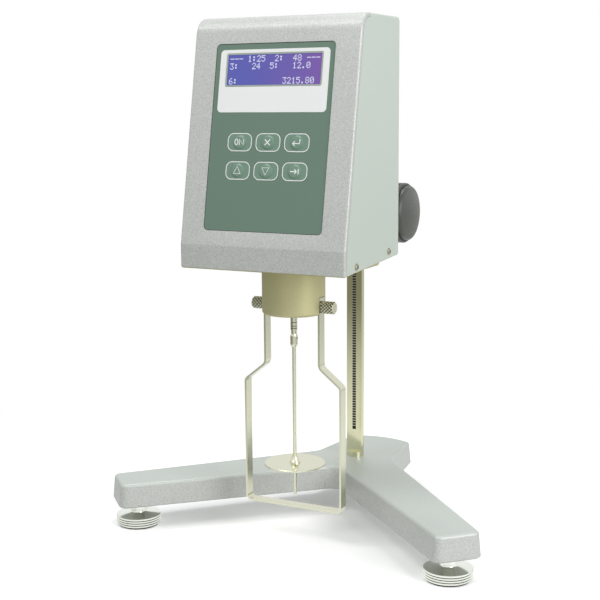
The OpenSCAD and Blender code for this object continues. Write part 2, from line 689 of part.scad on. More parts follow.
// The guard's strap hangs from the collar, spreads at a double bend and closes below the spindle.
guard_low = 28.6;
bend_high = 140.9;
bend_low = 126.9;
guard_top_x = slot_x + strap_t;
guard_path = [
    [guard_top_x, slot_top - 0.6, 0], [guard_top_x, bend_high, 5], [guard_w / 2, bend_low, 5],
    [guard_w / 2, guard_low, 4.5], [-guard_w / 2, guard_low, 4.5],
    [-guard_w / 2, bend_low, 5], [-guard_top_x, bend_high, 5], [-guard_top_x, slot_top - 0.6, 0]
];
module guard() seat() color([0.72, 0.72, 0.66]) difference() {
    translate([0, strap_w / 2, 0]) rotate([90, 0, 0])
        linear_extrude(strap_w) polygon(strip(guard_path, -strap_t, 4));
    translate([0, 0, screw_z]) bar_x(2 + run, -big, big);
}

thumb_r = 4.8;
thumb_len = 10.8;
module thumb_screw(s) seat() translate([s * (guard_top_x + run), 0, screw_z]) rotate([0, s * 90, 0])
    color([0.62, 0.60, 0.50]) {
        rotate_extrude() polygon([
            [0, 0], [thumb_r - 0.7, 0], [thumb_r, 0.7], [thumb_r, thumb_len - 0.9], [thumb_r - 0.9, thumb_len], [0, thumb_len]
        ]);
        translate([0, 0, -8]) cylinder(r = 2, h = 8.5);
    }
module left_thumb_screw() thumb_screw(-1);
module right_thumb_screw() thumb_screw(1);

// ---------------------------------------------------------------- drive and spindle

shaft_r = 2.6;
shaft_low = 165;
shaft_high = 262;
shaft_groove = 0.3;
shaft_rings = [169.2, 170.9, 173.7];  // grooves above the coupling nut
module pivot_shaft() seat() color([0.75, 0.75, 0.72]) rotate_extrude() polygon(concat(
    [[0, shaft_low], [shaft_r - 0.6, shaft_low], [shaft_r - 0.4, shaft_low + 0.3],
     [shaft_r - 0.4, shaft_low + 2.6], [shaft_r, shaft_low + 2.8]],
    [for (z = shaft_rings)
        each [[shaft_r, z - 0.3], [shaft_r - shaft_groove, z - 0.15], [shaft_r - shaft_groove, z + 0.15],
              [shaft_r, z + 0.3]]],
    [[shaft_r, shaft_high - 1], [1, shaft_high], [0, shaft_high]]
));

nut_low = 154.6;
nut_r = 2.85;
nut_bore_top = nut_low + 5;
nut_hole_z = nut_low + 6.8;           // cross hole for a tommy bar
module coupling_nut() seat() color([0.78, 0.78, 0.72]) difference() {
    rotate_extrude() polygon([
        [0, nut_low], [1.9, nut_low], [nut_r - 0.1, nut_low + 1.6], [nut_r, nut_low + 2.2],
        [nut_r, shaft_low - 1.8], [nut_r - 0.5, shaft_low - 0.4], [nut_r - 1, shaft_low], [0, shaft_low]
    ]);
    translate([0, 0, nut_low - cut]) cylinder(r = spindle_d / 2, h = nut_bore_top - nut_low + cut);
    translate([0, 0, nut_hole_z]) bar_x(0.7, -nut_r - cut, nut_r + cut);
}

rod_low = 37.7;
pin_below_r = 1.2;                    // the rod is slimmer below the disc
mark_z = 87.1;                        // groove that marks how deep the spindle is dipped
module spindle() seat() color([0.75, 0.75, 0.70]) rotate_extrude($fn = 96) {
    r = spindle_d / 2;
    disc_r = disc_d / 2;
    polygon([
        [0, rod_low], [pin_below_r - 0.3, rod_low], [pin_below_r, rod_low + 0.3], [pin_below_r, disc_z - disc_t],
        [disc_r - 0.2, disc_z - disc_t], [disc_r, disc_z - disc_t + 0.2], [disc_r, disc_z - 0.2],
        [disc_r - 0.2, disc_z], [4.2, disc_z], [4.1, disc_z + 0.8], [3.0, disc_z + 2.6],
        [2.2, disc_z + 4.4], [1.9, disc_z + 6], [r, disc_z + 6.2],
        [r, mark_z - 0.5], [r - 0.3, mark_z - 0.3], [r - 0.3, mark_z + 0.3], [r, mark_z + 0.5],
        [r, nut_bore_top], [0, nut_bore_top]
    ]);
}

// The frame inside the head: a floor with the shaft's bearing and a back plate that
// takes the carriage bolts.
motor_plate_z = head_z + 55;
chassis_back = head_rear - cover_t;
module chassis() seat() color([0.65, 0.66, 0.68]) difference() {
    union() {
        translate([-26, -26, chassis_z]) cube([52, 26 + chassis_back, 4]);
        translate([-30, chassis_back - 4, chassis_z]) cube([60, 4, 78]);
        translate([0, 0, chassis_z + 3]) cylinder(r = 12, h = 10);
        for (a = [45:90:315]) rotate([0, 0, a]) translate([30, 0, chassis_z + 3])
            cylinder(r = 4, h = motor_plate_z - chassis_z - 3);
    }
    translate([0, 0, head_z - cut]) cylinder(r = shaft_r + run, h = 30);
    for (b = bolt_places)
        translate([b.x, head_rear, b.y]) rotate([90, 0, 0]) cylinder(r = 2, h = 8);
}

module encoder_disc() seat() color([0.55, 0.5, 0.35]) difference() {
    translate([0, 0, head_z + 24]) cylinder(r = 20, h = 1);
    translate([0, 0, head_z + 23]) cylinder(r = shaft_r, h = 4);
}

// Flat spiral spring, whose wind-up measures the drag on the spindle.
spiral_turns = 4;
spiral_in = 4.4;
spiral_pitch = 2.2;
module torsion_spring() seat() color([0.45, 0.47, 0.5]) {
    outer = [for (i = [0:16 * spiral_turns])
        let (a = i * 22.5) (spiral_in + spiral_pitch * a / 360 + 0.4) * [cos(a), sin(a)]];
    inner = [for (i = [0:16 * spiral_turns])
        let (a = i * 22.5) (spiral_in + spiral_pitch * a / 360 - 0.4) * [cos(a), sin(a)]];
    translate([0, 0, head_z + 31]) {
        linear_extrude(3) polygon(concat(outer, reverse(inner)));
        difference() {
            cylinder(r = 4.6, h = 3);
            translate([0, 0, -cut]) cylinder(r = shaft_r, h = 5);
        }
    }
}

module gear_motor() seat() color([0.5, 0.5, 0.52]) {
    translate([-30, -26, motor_plate_z]) cube([60, 52, 4]);
    translate([0, 0, head_z + 59]) cylinder(r = 24, h = 16);
    translate([0, 0, head_z + 75]) cylinder(r = 19, h = 34);
    translate([0, 0, head_z + 45]) cylinder(r = 2.5, h = 10.5);
}

// ---------------------------------------------------------------- level, inlet and switch

module level_ring() seat() translate([0, 24, head_top]) color([0.7, 0.7, 0.68]) difference() {
    union() {
        rotate_extrude() polygon([[0, 0], [9, 0], [9, 0.8], [8, 1.8], [0, 1.8]]);
        translate([0, 0, -3]) cylinder(r = 6.4, h = 3.1);
    }
    translate([0, 0, -2]) cylinder(r = 5.6, h = 5);
}
module level_vial() seat() translate([0, 24, head_top]) color([0.75, 0.88, 0.35])
    rotate_extrude() polygon([[0, -2], [5.5, -2], [5.5, 1.2], [4.2, 1.7], [2, 1.95], [0, 2]]);

module power_inlet() seat() translate([inlet_place.x, head_rear, inlet_place.y]) rotate([-90, 0, 0])
    color([0.1, 0.1, 0.1]) difference() {
        union() {
            translate([0, 0, 0]) rounded_plate(31, 27, 2, 2.5);
            translate([0, 0, -16]) rounded_plate(27.6, 23.6, 16.5, 1.5);
        }
        translate([0, 0, -13]) linear_extrude(20) polygon(closed_outline([
            [-11, -8, 1], [11, -8, 1], [11, 4.5, 1], [7.5, 8, 1], [-7.5, 8, 1], [-11, 4.5, 1]], 0, 3));
    }

pin_r = 1;                            // the rocker's pin
pin_depth = 1;                        // how deep the pin lies in the frame
rocker_rest = 10;                     // lean of the rocker at rest, in degrees
module at_switch() seat() translate([switch_place.x, head_rear, switch_place.y]) children();

module switch_frame() at_switch() rotate([-90, 0, 0]) color([0.1, 0.1, 0.1]) difference() {
    union() {
        rounded_plate(23, 17.5, 1.6, 1.5);
        translate([0, 0, -14]) rounded_plate(18.6, 13.6, 14.5, 1);
    }
    translate([-7.4, -4.9, -8]) cube([14.8, 9.8, 20]);
    translate([0, 6, -pin_depth]) rotate([90, 0, 0]) cylinder(r = pin_r + run, h = 12);
}

// The rocker turns about an upright pin; its ends clear the frame all the way.
module switch_rocker() at_switch() translate([0, -pin_depth, 0]) rotate([0, 0, rocker_rest])
    color([0.6, 0.08, 0.06]) {
        translate([0, 0, -4.6]) linear_extrude(9.2)
            polygon([[-6.9, -1.5], [-5, -3.6], [5, -3.6], [6.9, -1.5], [6.9, 2.3], [0, 1.4], [-6.9, 2.3]]);
        translate([0, 0, -5.9]) cylinder(r = pin_r, h = 11.8);
    }

base_casting();
column();
rack();
column_cap();
column_screw();
left_foot();
left_foot_pad();
right_foot();
right_foot_pad();
rear_foot();
rear_foot_pad();
carriage();
guide_bushes();
tension_screw();
carriage_bolts();
front_shell();
rear_cover();
bottom_plate();
cover_screws();
keypad_film();
display_label();
display_bezel();
display_module();
circuit_board();
collar();
guard();
chassis();
gear_motor();
level_ring();
level_vial();
power_inlet();
switch_frame();
switch_rocker();
pivot_shaft();
torsion_spring();
encoder_disc();
coupling_nut();
spindle();
left_thumb_screw();
right_thumb_screw();
pinion_shaft();
pinion();
knob_body();
knob_cap();
key_on();
key_back();
key_enter();
key_up();
key_down();
key_tab();
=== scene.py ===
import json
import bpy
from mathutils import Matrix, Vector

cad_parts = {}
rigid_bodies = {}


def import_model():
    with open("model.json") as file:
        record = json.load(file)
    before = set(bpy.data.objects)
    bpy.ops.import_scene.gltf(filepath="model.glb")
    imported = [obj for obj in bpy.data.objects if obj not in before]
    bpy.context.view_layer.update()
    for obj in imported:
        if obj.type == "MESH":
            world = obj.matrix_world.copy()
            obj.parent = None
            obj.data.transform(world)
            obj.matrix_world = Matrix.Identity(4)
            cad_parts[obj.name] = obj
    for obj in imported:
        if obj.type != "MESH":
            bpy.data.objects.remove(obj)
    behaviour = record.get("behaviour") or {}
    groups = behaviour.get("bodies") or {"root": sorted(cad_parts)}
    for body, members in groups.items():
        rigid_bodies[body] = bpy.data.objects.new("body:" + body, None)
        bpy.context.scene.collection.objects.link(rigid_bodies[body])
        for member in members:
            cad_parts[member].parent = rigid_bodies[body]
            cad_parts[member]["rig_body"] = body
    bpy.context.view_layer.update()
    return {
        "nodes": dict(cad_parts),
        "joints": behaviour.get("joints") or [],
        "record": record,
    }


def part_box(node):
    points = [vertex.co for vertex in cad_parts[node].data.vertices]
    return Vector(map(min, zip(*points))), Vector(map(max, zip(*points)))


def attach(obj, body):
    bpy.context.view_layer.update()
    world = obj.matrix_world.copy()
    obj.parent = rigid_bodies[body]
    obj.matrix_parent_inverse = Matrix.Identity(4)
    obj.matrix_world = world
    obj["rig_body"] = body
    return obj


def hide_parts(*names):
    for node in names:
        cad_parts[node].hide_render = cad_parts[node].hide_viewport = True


bl_info = {
    "name": "Rotational Viscometer",
    "version": (1, 0, 0),
    "blender": (4, 5, 0),
    "location": "View3D > Sidebar > Viscometer",
    "description": "Dresses the packed viscometer: finishes, legends, display, knurls and the stage",
    "category": "Object",
}

from math import atan2, cos, radians, sin, tau

import bmesh
import bpy
from bpy.props import FloatProperty, FloatVectorProperty, IntProperty, PointerProperty, StringProperty
from bpy.types import Operator, Panel, PropertyGroup
from mathutils import Matrix, Vector

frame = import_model()
MM = 0.001


# ------------------------------------------------------------------ shader helpers


def fill(tree, node, sockets):
    """Gives each named socket of a node its value, or a link where the value varies."""
    for key, value in sockets.items():
        if isinstance(value, Field):
            tree.links.new(value.socket, node.inputs[key])
        else:
            node.inputs[key].default_value = value


def add_node(tree, kind, settings, sockets, output=0):
    """Adds a node: its settings first, then values or links for its sockets."""
    node = tree.nodes.new("ShaderNode" + kind)
    for key, value in settings.items():
        setattr(node, key, value)
    fill(tree, node, sockets)
    return Field(tree, node.outputs[output])


class Field:
    """A number or colour that varies over a surface; arithmetic on it adds Math nodes."""

    def __init__(self, tree, socket):
        self.tree = tree
        self.socket = socket

    def math(self, operation, *terms):
        return add_node(self.tree, "Math", {"operation": operation}, dict(enumerate(terms)))

    def __add__(self, other):
        return self.math("ADD", self, other)

    def __radd__(self, other):
        return self.math("ADD", other, self)

    def __sub__(self, other):
        return self.math("SUBTRACT", self, other)

    def __rsub__(self, other):
        return self.math("SUBTRACT", other, self)

    def __mul__(self, other):
        return self.math("MULTIPLY", self, other)

    def __rmul__(self, other):
        return self.math("MULTIPLY", other, self)

    def __pow__(self, other):
        return self.math("POWER", self, other)

    def __gt__(self, other):
        return self.math("GREATER_THAN", self, other)

    def __lt__(self, other):
        return self.math("LESS_THAN", self, other)

    def sine(self):
        return self.math("SINE", self)

    def absolute(self):
        return self.math("ABSOLUTE", self)

    def ramp(self, low, high):
        """0 below low, 1 above high, straight between."""
        return add_node(self.tree, "MapRange", {}, {"Value": self, "From Min": low, "From Max": high})


class Finish:
    """A material being built round one Principled shader."""

    def __init__(self, name, color, roughness, metallic=0.0, **constants):
        self.material = bpy.data.materials.new(name)
        self.material.use_nodes = True
        self.material.diffuse_color = (*color, 1)
        self.tree = self.material.node_tree
        self.shader = self.tree.nodes["Principled BSDF"]
        self.feed(
            **{"Base Color": (*color, 1), "Roughness": roughness, "Metallic": metallic},
            **{key.replace("_", " "): value for key, value in constants.items()},
        )
        self.place = self.node("TexCoord", {}, {}, "Object")

    def node(self, kind, settings, sockets, output=0):
        return add_node(self.tree, kind, settings, sockets, output)

    def feed(self, **sockets):
        """Sets or links sockets of the shader."""
        fill(self.tree, self.shader, sockets)

    def paint(self, tone):
        self.feed(**{"Base Color": tone})

    def spread(self, scale):
        """Object coordinates, stretched by one factor per axis."""
        return self.node("Mapping", {}, {"Vector": self.place, "Scale": scale})

    def axis(self, name):
        return self.node("SeparateXYZ", {}, {"Vector": self.place}, name)

    def noise(self, scale, detail, at=None):
        return self.node("TexNoise", {}, {"Vector": at or self.place, "Scale": scale, "Detail": detail})

    def cells(self, scale, channel, at=None):
        """One channel of a random colour per cell."""
        cell = self.node("TexVoronoi", {}, {"Vector": at or self.place, "Scale": scale}, "Color")
        return self.node("SeparateColor", {}, {"Color": cell}, channel)

    def mix(self, factor, one, two):
        """Colour one where the factor is 0, colour two where it is 1."""
        ends = [color if isinstance(color, Field) else (*color, 1) for color in (one, two)]
        return self.node("Mix", {"data_type": "RGBA"}, {0: factor, 6: ends[0], 7: ends[1]}, 2)

    def bump(self, height, distance, strength):
        sockets = {"Height": height, "Distance": distance, "Strength": strength}
        self.feed(Normal=self.node("Bump", {}, sockets, "Normal"))


def shade(color, factor):
    """A colour made lighter or darker by a factor."""
    return tuple(min(1.0, channel * factor) for channel in color)


# ------------------------------------------------------------------ finishes


def sparkle_paint(name, color, level=None, top=(0, 0, 0)):
    """Silver paint with fine flakes that catch the light; on a level top the flakes are painted fainter
    and in another colour, as painted sheen for how light falls there.
    """
    f = Finish(name, color, 0.42, 0.2, Coat_Weight=0.05, Coat_Roughness=0.3)
    grain = f.noise(1500, 3.0)
    flake = f.cells(2600, "Red")
    cloud = f.noise(14, 2.0)
    # painted sheen: above the level the flakes are painted fainter, for how light falls on a level top
    flat = 0.0 if level is None else f.axis("Z").ramp(level - 3 * MM, level)
    busy = 1.0 - flat * 0.75
    tone = ((grain - 0.5) * 1.1 + (flake - 0.5) * 0.5) * busy + (cloud - 0.5) * 0.25 + 0.5
    skin = f.mix(tone, shade(color, 0.68), shade(color, 1.30))
    # painted sheen: on the level top the top colour takes over from the side colour
    if level is not None:
        skin = f.mix(flat, skin, f.mix(tone, shade(top, 0.68), shade(top, 1.30)))
    f.paint(skin)
    f.feed(Roughness=(flake > 0.86) * -0.16 + (grain * 0.14 + 0.40))
    f.bump(grain + flake * 0.6, 0.00004, 0.4)
    return f.material


def enamel(name, color, rough=0.36, peel=0.00004):
    """Smooth sprayed enamel with a faint orange peel."""
    f = Finish(name, color, rough, 0.0, Coat_Weight=0.15, Coat_Roughness=0.3)
    cloud = f.noise(9, 2.0)
    fine = f.noise(900, 2.0)
    f.paint(f.mix(cloud * 0.7 + fine * 0.3, shade(color, 0.965), shade(color, 1.035)))
    f.feed(Roughness=cloud * 0.08 + (rough - 0.04))
    f.bump(f.noise(650, 2.0), peel, 0.35)
    return f.material


def satin_metal(name, color, rough, grain, metallic, streak):
    """Metal with a fine directional grain; grain stretches the noise along an axis."""
    f = Finish(name, color, rough, metallic)
    lines = f.noise(220, 3.0, f.spread(grain))
    smudge = f.noise(38, 3.0)
    tone = lines * 0.7 + smudge * 0.3
    f.paint(f.mix(tone, shade(color, 1 - streak), shade(color, 1 + streak * 0.6)))
    f.feed(Roughness=lines * 0.12 + smudge * 0.1 + (rough - 0.1))
    f.bump(lines, 0.00002, 0.4)
    return f.material


def polished_metal(name, color, rough=0.12):
    """Ground and polished metal with faint wipe marks."""
    f = Finish(name, color, rough, 1.0)
    rings = f.noise(60, 2.0, f.spread((1, 1, 26)))
    smudge = f.noise(22, 3.0)
    f.paint(f.mix(smudge, shade(color, 0.93), shade(color, 1.05)))
    f.feed(Roughness=rings * 0.06 + smudge * 0.09 + (rough - 0.06))
    f.bump(rings, 0.00001, 0.3)
    return f.material


def grooved_steel(name, color, rough, heights):
    """Polished steel with turned grooves, at heights above the bench, that are painted dark as painted
    shade.
    """
    f = Finish(name, color, rough, 1.0)
    smudge = f.noise(22, 3.0)
    z = f.axis("Z")
    half = 0.28 * MM
    # painted shade: each turned groove is painted dark, where shade falls in it
    groove = sum((z - height).absolute() < half for height in heights)
    bright = f.mix(smudge, shade(color, 0.92), shade(color, 1.05))
    f.paint(f.mix(groove, bright, shade(color, 0.3)))
    f.feed(Roughness=groove * 0.2 + smudge * 0.09 + (rough - 0.04))
    f.bump(f.noise(60, 2.0, f.spread((1, 1, 26))), 0.00001, 0.3)
    return f.material


def moulding(name, color, rough=0.45, grain=2200, depth=0.00005, coat=0.0):
    """Moulded plastic with a fine spark-eroded grain."""
    f = Finish(name, color, rough, 0.0, Coat_Weight=coat, Coat_Roughness=0.2)
    fine = f.noise(grain, 2.0)
    cloud = f.noise(30, 3.0)
    f.paint(f.mix(cloud, shade(color, 0.9), shade(color, 1.12)))
    f.feed(Roughness=fine * 0.16 + cloud * 0.08 + (rough - 0.12))
    f.bump(fine, depth, 0.5)
    return f.material


def printed_film(name, color, rough=0.33):
    """Polyester film, printed behind, with a very fine satin texture."""
    f = Finish(name, color, rough, 0.0, Coat_Weight=0.25, Coat_Roughness=0.28)
    fine = f.noise(3000, 1.0)
    drift = f.noise(12, 1.0)
    f.paint(f.mix(drift * 0.7 + fine * 0.3, shade(color, 0.95), shade(color, 1.05)))
    f.feed(Roughness=fine * 0.1 + (rough - 0.05))
    f.bump(fine, 0.00001, 0.4)
    return f.material


def rack_steel(name, color, gap):
    """Machine-cut teeth: bright lands that fall off into gaps painted dark as painted shade."""
    f = Finish(name, color, 0.32, 1.0)
    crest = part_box("rack")[0].y
    # painted shade: the deeper into a gap between the teeth, the darker and less metallic it is painted
    depth = f.axis("Y").ramp(crest + 0.05 * MM, crest + 0.9 * MM)
    marks = f.noise(160, 3.0)
    f.paint(f.mix(depth, f.mix(marks, shade(color, 0.86), shade(color, 1.1)), gap))
    f.feed(Roughness=depth * 0.3 + marks * 0.1 + 0.24, Metallic=depth * -0.5 + 0.95)
    return f.material


def knurled_metal(name, color, groove):
    """Diamond-knurled metal: the grooves between the diamonds are painted dark as painted shade."""
    f = Finish(name, color, 0.3, 0.9)
    low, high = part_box("right_thumb_screw")
    y = f.axis("Y") - (low.y + high.y) / 2
    z = f.axis("Z") - (low.z + high.z) / 2
    r = (high.z - low.z) / 2
    radius = (y * y + z * z) ** 0.5
    # painted shade: the sunk grooves of the knurl are painted in the groove colour
    knurl_shade = (1.0 - radius.ramp(r - 0.55 * MM, r - 0.12 * MM)) * (radius > r - 0.65 * MM)
    wear = f.noise(300, 3.0)
    f.paint(f.mix(knurl_shade, f.mix(wear, shade(color, 0.88), shade(color, 1.1)), groove))
    f.feed(Roughness=knurl_shade * 0.3 + wear * 0.1 + 0.25, Metallic=knurl_shade * -0.8 + 0.9)
    return f.material


def foot_rubber(name, color):
    """Dull black rubber with dust in its pores."""
    f = Finish(name, color, 0.8, 0.0)
    dust = f.noise(160, 4.0)
    f.paint(f.mix(dust.ramp(0.45, 0.75), color, shade(color, 2.4)))
    f.feed(Roughness=dust * 0.2 + 0.65)
    f.bump(f.noise(1800, 2.0), 0.00008, 0.6)
    return f.material


def lit_display(name, left, right):
    """A backlit display that drifts from blue to violet, crossed by its faint pixel grid."""
    f = Finish(name, left, 0.3, 0.0, Coat_Weight=0.3, Coat_Roughness=0.08)
    low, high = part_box("display_module")
    across = f.axis("X").ramp(low.x + 0.3 * (high.x - low.x), high.x)
    glow = f.noise(30, 2.0)
    pitch = 0.7 * MM
    grid = ((f.axis("X") * (tau / pitch)).sine() * 0.5 + 0.5) * 0.06
    hue = f.mix(across * 0.8 + glow * 0.2, left, right)
    f.paint(f.mix(0.7, hue, (0, 0, 0)))
    f.feed(**{"Emission Color": f.mix(grid, hue, shade(left, 0.5)), "Emission Strength": 0.8})
    return f.material


def spirit_glass(name, color):
    """Tinted spirit seen through its domed glass."""
    f = Finish(name, color, 0.08, 0.0, Coat_Weight=1.0, Coat_Roughness=0.03, Transmission_Weight=0.25)
    f.paint(f.mix(f.noise(200, 1.0), shade(color, 0.92), shade(color, 1.08)))
    return f.material


def circuit_finish(name, color):
    """Solder mask with paler copper tracks under it."""
    f = Finish(name, color, 0.35, 0.0, Coat_Weight=0.3, Coat_Roughness=0.2)
    lines = f.cells(900, "Green", f.spread((1, 0.3, 0.3)))
    f.paint(f.mix(lines > 0.7, color, shade(color, 1.8)))
    f.feed(Roughness=lines * 0.2 + 0.25)
    return f.material


class FinishSizes(PropertyGroup):
    """Colours of the instrument's main finishes, one per material slot group."""

    paint: FloatVectorProperty(
        name="Silver paint", description="Front shell and base casting", subtype="COLOR",
        default=(0.572, 0.583, 0.560), min=0, max=1,
    )
    # painted sheen: the casting's top gets a colour of its own, for how light falls on it
    casting: FloatVectorProperty(
        name="Casting top", description="Top of the base casting", subtype="COLOR",
        default=(0.55, 0.59, 0.55), min=0, max=1,
    )
    cover: FloatVectorProperty(
        name="Cover enamel", description="Rear cover of the head", subtype="COLOR",
        default=(0.60, 0.66, 0.60), min=0, max=1,
    )
    film: FloatVectorProperty(
        name="Keypad film", description="Film and keys", subtype="COLOR",
        default=(0.132, 0.218, 0.163), min=0, max=1,
    )
    champagne: FloatVectorProperty(
        name="Champagne metal", description="Collar, carriage and bottom plate", subtype="COLOR",
        default=(0.56, 0.525, 0.30), min=0, max=1,
    )
    steel: FloatVectorProperty(
        name="Stainless steel", description="Guard, shaft and spindle", subtype="COLOR",
        default=(0.68, 0.68, 0.54), min=0, max=1,
    )
    knob: FloatVectorProperty(
        name="Knob", description="Fluted knob body", subtype="COLOR",
        default=(0.055, 0.060, 0.048), min=0, max=1,
    )
    cap: FloatVectorProperty(
        name="Knob cap", description="Domed cap of the knob", subtype="COLOR",
        default=(0.068, 0.075, 0.062), min=0, max=1,
    )
    glow_left: FloatVectorProperty(
        name="Display, left", description="Backlight at the display's left", subtype="COLOR",
        default=(0.055, 0.075, 0.38), min=0, max=1,
    )
    glow_right: FloatVectorProperty(
        name="Display, right", description="Backlight at the display's right", subtype="COLOR",
        default=(0.17, 0.065, 0.33), min=0, max=1,
    )


SHAFT_RINGS = (169.2 * MM, 170.9 * MM, 173.7 * MM)
FINISHES = {}


def make_finishes(p):
    """One material for each slot of the record."""
    steel = tuple(p.steel)
    champagne = tuple(p.champagne)
    base_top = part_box("base_casting")[1].z
    FINISHES.update(
        # the casting's level top gets painted sheen: fainter flakes and the top colour
        casting_paint=sparkle_paint("casting_paint", tuple(p.paint), base_top, tuple(p.casting)),
        sparkle_paint=sparkle_paint("sparkle_paint", tuple(p.paint)),
        cover_paint=enamel("cover_paint", tuple(p.cover)),
        champagne_satin=satin_metal("champagne_satin", champagne, 0.48, (1, 1, 4), 0.45, 0.1),
        # its last colour is the painted shade in the knurl's grooves
        champagne_knurl=knurled_metal("champagne_knurl", (0.66, 0.66, 0.50), (0.035, 0.035, 0.025)),
        film_green=printed_film("film_green", tuple(p.film)),
        key_green=printed_film("key_green", shade(p.film, 1.3)),
        label_white=printed_film("label_white", (0.98, 0.98, 0.97), 0.22),
        bezel_grey=moulding("bezel_grey", (0.40, 0.46, 0.40), 0.4),
        lcd_blue=lit_display("lcd_blue", tuple(p.glow_left), tuple(p.glow_right)),
        guard_steel=polished_metal("guard_steel", steel, 0.24),
        spindle_steel=polished_metal("spindle_steel", steel, 0.24),
        shaft_steel=grooved_steel("shaft_steel", shade(steel, 0.98), 0.16, SHAFT_RINGS),
        polished_steel=polished_metal("polished_steel", (0.67, 0.66, 0.46)),
        # its last colour is the painted shade in the gaps between the teeth
        rack_steel=rack_steel("rack_steel", (0.62, 0.60, 0.50), (0.035, 0.034, 0.03)),
        nickel=polished_metal("nickel", (0.80, 0.82, 0.76), 0.13),
        foot_rubber=foot_rubber("foot_rubber", (0.018, 0.018, 0.018)),
        black_plastic=moulding("black_plastic", (0.022, 0.022, 0.022), 0.45),
        black_steel=satin_metal("black_steel", (0.06, 0.06, 0.06), 0.4, (1, 1, 10), 0.8, 0.2),
        bush_bronze=satin_metal("bush_bronze", (0.55, 0.36, 0.14), 0.4, (1, 1, 10), 1.0, 0.2),
        brass_gear=satin_metal("brass_gear", (0.62, 0.42, 0.14), 0.3, (20, 1, 1), 1.0, 0.15),
        screw_nickel=satin_metal("screw_nickel", (0.34, 0.33, 0.25), 0.35, (1, 1, 1), 0.9, 0.2),
        frame_aluminium=satin_metal("frame_aluminium", (0.45, 0.46, 0.47), 0.4, (20, 1, 1), 0.95, 0.15),
        motor_steel=satin_metal("motor_steel", (0.35, 0.35, 0.36), 0.35, (1, 1, 20), 0.95, 0.15),
        ring_aluminium=satin_metal("ring_aluminium", (0.52, 0.52, 0.50), 0.3, (1, 1, 1), 0.95, 0.12),
        spring_steel=satin_metal("spring_steel", (0.14, 0.16, 0.2), 0.3, (1, 1, 20), 1.0, 0.2),
        vial_glass=spirit_glass("vial_glass", (0.45, 0.72, 0.06)),
        board_green=circuit_finish("board_green", (0.01, 0.08, 0.03)),
        rocker_red=moulding("rocker_red", (0.32, 0.012, 0.01), 0.28, 1500, 0.00002, 0.3),
        knob_grey=moulding("knob_grey", tuple(p.knob), 0.4, 1600, 0.00004),
        cap_grey=moulding("cap_grey", tuple(p.cap), 0.36, 2200, 0.00002, 0.1),
    )


# ------------------------------------------------------------------ mesh helpers


def piece(name, bm, slot, body, replaces=(), sharp=32.0):
    """Turns a bmesh in the frame's place into a finished piece; edges past sharp degrees stay crisp."""
    mesh = bpy.data.meshes.new(name)
    bm.to_mesh(mesh)
    bm.free()
    mesh.shade_smooth()
    mesh.set_sharp_from_angle(angle=radians(sharp))
    mesh.materials.append(FINISHES[slot])
    thing = bpy.data.objects.new(name, mesh)
    bpy.context.scene.collection.objects.link(thing)
    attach(thing, body)
    if replaces:
        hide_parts(*replaces)
    return thing


def body_of(node):
    """Name of the body that a CAD node rides on."""
    return frame["nodes"][node]["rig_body"]


def turned(bm, profile, steps, centre, axis=(0, 0, 1)):
    """Spins a profile of (radius, height) points about Z; returns the matrix that puts it in place."""
    turn = Vector((0, 0, 1)).rotation_difference(Vector(axis)).to_matrix().to_4x4()
    place = Matrix.Translation(centre) @ turn
    points = [bm.verts.new((r, 0, z)) for r, z in profile]
    edges = [bm.edges.new(pair) for pair in zip(points, points[1:])]
    bmesh.ops.spin(
        bm, geom=points + edges, cent=(0, 0, 0), axis=(0, 0, 1), dvec=(0, 0, 0),
        angle=tau, steps=steps, use_merge=True, use_normal_flip=False, use_duplicate=False,
    )
    bmesh.ops.remove_doubles(bm, verts=bm.verts, dist=1e-6)
    bmesh.ops.recalc_face_normals(bm, faces=bm.faces)
    return place


PRINT_DEPTH = 0.05 * MM


def stroke(bm, points, width, closed=False):
    """A flat printed line through points in the plane z = 0."""
    curve = bpy.data.curves.new("stroke", "CURVE")
    curve.dimensions = "3D"
    curve.bevel_depth = width / 2
    curve.bevel_resolution = 1
    curve.use_fill_caps = True
    spline = curve.splines.new("POLY")
    spline.points.add(len(points) - 1)
    for point, (x, y) in zip(spline.points, points):
        point.co = (x, y, 0, 1)
    spline.use_cyclic_u = closed
    helper = bpy.data.objects.new("stroke", curve)
    mesh = bpy.data.meshes.new_from_object(helper)
    mesh.transform(Matrix.Diagonal((1, 1, PRINT_DEPTH / width, 1)))
    bm.from_mesh(mesh)
    bpy.data.meshes.remove(mesh)
    bpy.data.objects.remove(helper)
    bpy.data.curves.remove(curve)


def arc(x, y, r, start, end, steps=8):
    """Points along an arc about (x, y), from start to end in degrees."""
    turns = [radians(start + (end - start) * i / steps) for i in range(steps + 1)]
    return [(x + r * cos(a), y + r * sin(a)) for a in turns]


def rounded_box_line(w, h, r):
    """The outline of a rounded rectangle centred on the origin."""
    x, y = w / 2 - r, h / 2 - r
    corners = ((x, y), (-x, y), (-x, -y), (x, -y))
    return [point for i, (cx, cy) in enumerate(corners) for point in arc(cx, cy, r, 90 * i, 90 * i + 90)]


def face_frame(node):
    """A node's place on the sloping face (x across, y up the slope, z out of it) and its size there."""
    press = next(j for j in frame["joints"] if j["name"] == "key_on_press")
    out = -Vector(press["axis"])
    right = Vector((1, 0, 0))
    up = out.cross(right)
    points = [v.co for v in frame["nodes"][node].data.vertices]
    spans = [(min(p.dot(a) for p in points), max(p.dot(a) for p in points)) for a in (right, up, out)]
    centre = right * sum(spans[0]) / 2 + up * sum(spans[1]) / 2 + out * spans[2][1]
    turn = Matrix((right, up, out)).transposed().to_4x4()
    size = (spans[0][1] - spans[0][0], spans[1][1] - spans[1][0])
    return Matrix.Translation(centre) @ turn, size


# ------------------------------------------------------------------ CAD nodes


SMOOTHED = ("base_casting", "front_shell", "rear_cover")


